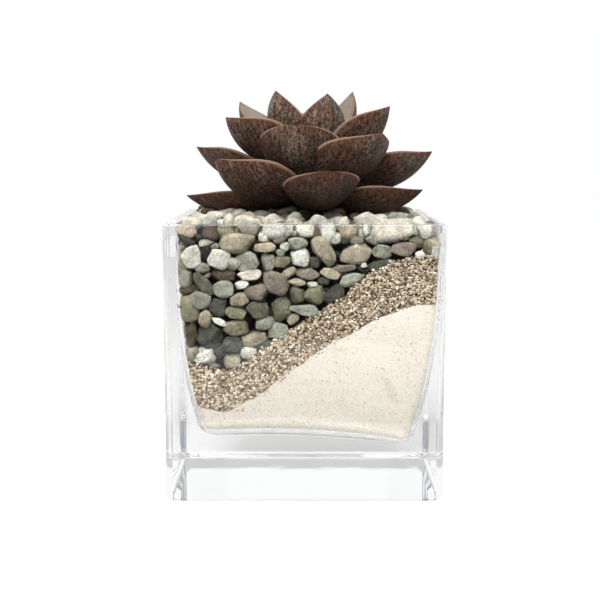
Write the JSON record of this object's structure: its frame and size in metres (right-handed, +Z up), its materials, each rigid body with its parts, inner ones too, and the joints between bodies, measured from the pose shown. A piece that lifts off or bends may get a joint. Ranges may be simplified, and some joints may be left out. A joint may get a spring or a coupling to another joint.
{
  "type": "succulent in glass planter",
  "caption": "Brown rosette succulent growing in a heavy square clear glass planter layered with white sand, tan gravel and rounded pebbles.",
  "frame": {"origin": "middle of the planter's square footprint, on the surface it stands on", "axes": "+Z up; -Y is the front, the side the pebble slope is seen from; +X to the right, where the sand is deepest"},
  "size_m": [0.1, 0.1, 0.1482],
  "materials": {
    "glass": "clear pressed glass with a polished rim",
    "sand": "fine dry quartz sand, matt",
    "gravel": "washed tan grit of about 2 mm, matt",
    "pebbles": "water-worn river pebbles, dry and satin",
    "pale_pebbles": "water-worn limestone pebbles, matt",
    "potting_mix": "dark crumbly potting mix",
    "stem": "corky plant stem",
    "leaf": "thick brown-maroon leaf with a waxy bloom"
  },
  "bodies": {
    "root": {"glass_planter": "glass", "white_sand": "sand", "gravel_band": "gravel", "root_plug": "potting_mix", "stem": "stem", "pebble_bed": "pebbles", "top_pebble_01": "pale_pebbles", "top_pebble_02": "pebbles", "top_pebble_03": "pale_pebbles", "top_pebble_04": "pale_pebbles", "top_pebble_05": "pale_pebbles", "top_pebble_06": "pebbles", "top_pebble_07": "pale_pebbles", "top_pebble_08": "pale_pebbles", "top_pebble_09": "pale_pebbles", "top_pebble_10": "pale_pebbles", "top_pebble_11": "pale_pebbles", "top_pebble_12": "pale_pebbles", "top_pebble_13": "pale_pebbles", "top_pebble_14": "pale_pebbles", "top_pebble_15": "pale_pebbles", "top_pebble_16": "pebbles", "top_pebble_17": "pale_pebbles", "top_pebble_18": "pale_pebbles", "top_pebble_19": "pale_pebbles", "top_pebble_20": "pale_pebbles", "top_pebble_21": "pale_pebbles", "top_pebble_22": "pebbles", "top_pebble_23": "pale_pebbles", "top_pebble_24": "pebbles", "top_pebble_25": "pale_pebbles", "top_pebble_26": "pale_pebbles", "leaf_01": "leaf", "leaf_02": "leaf", "leaf_03": "leaf", "leaf_04": "leaf", "leaf_05": "leaf", "leaf_06": "leaf", "leaf_07": "leaf", "leaf_08": "leaf", "leaf_09": "leaf", "leaf_10": "leaf", "leaf_11": "leaf", "leaf_12": "leaf", "leaf_13": "leaf", "leaf_14": "leaf", "leaf_15": "leaf", "leaf_16": "leaf", "leaf_17": "leaf", "leaf_18": "leaf", "leaf_19": "leaf", "leaf_20": "leaf", "leaf_21": "leaf", "leaf_22": "leaf", "leaf_23": "leaf", "leaf_24": "leaf", "leaf_25": "leaf", "leaf_26": "leaf", "leaf_27": "leaf", "leaf_28": "leaf"}
  },
  "joints": []
}
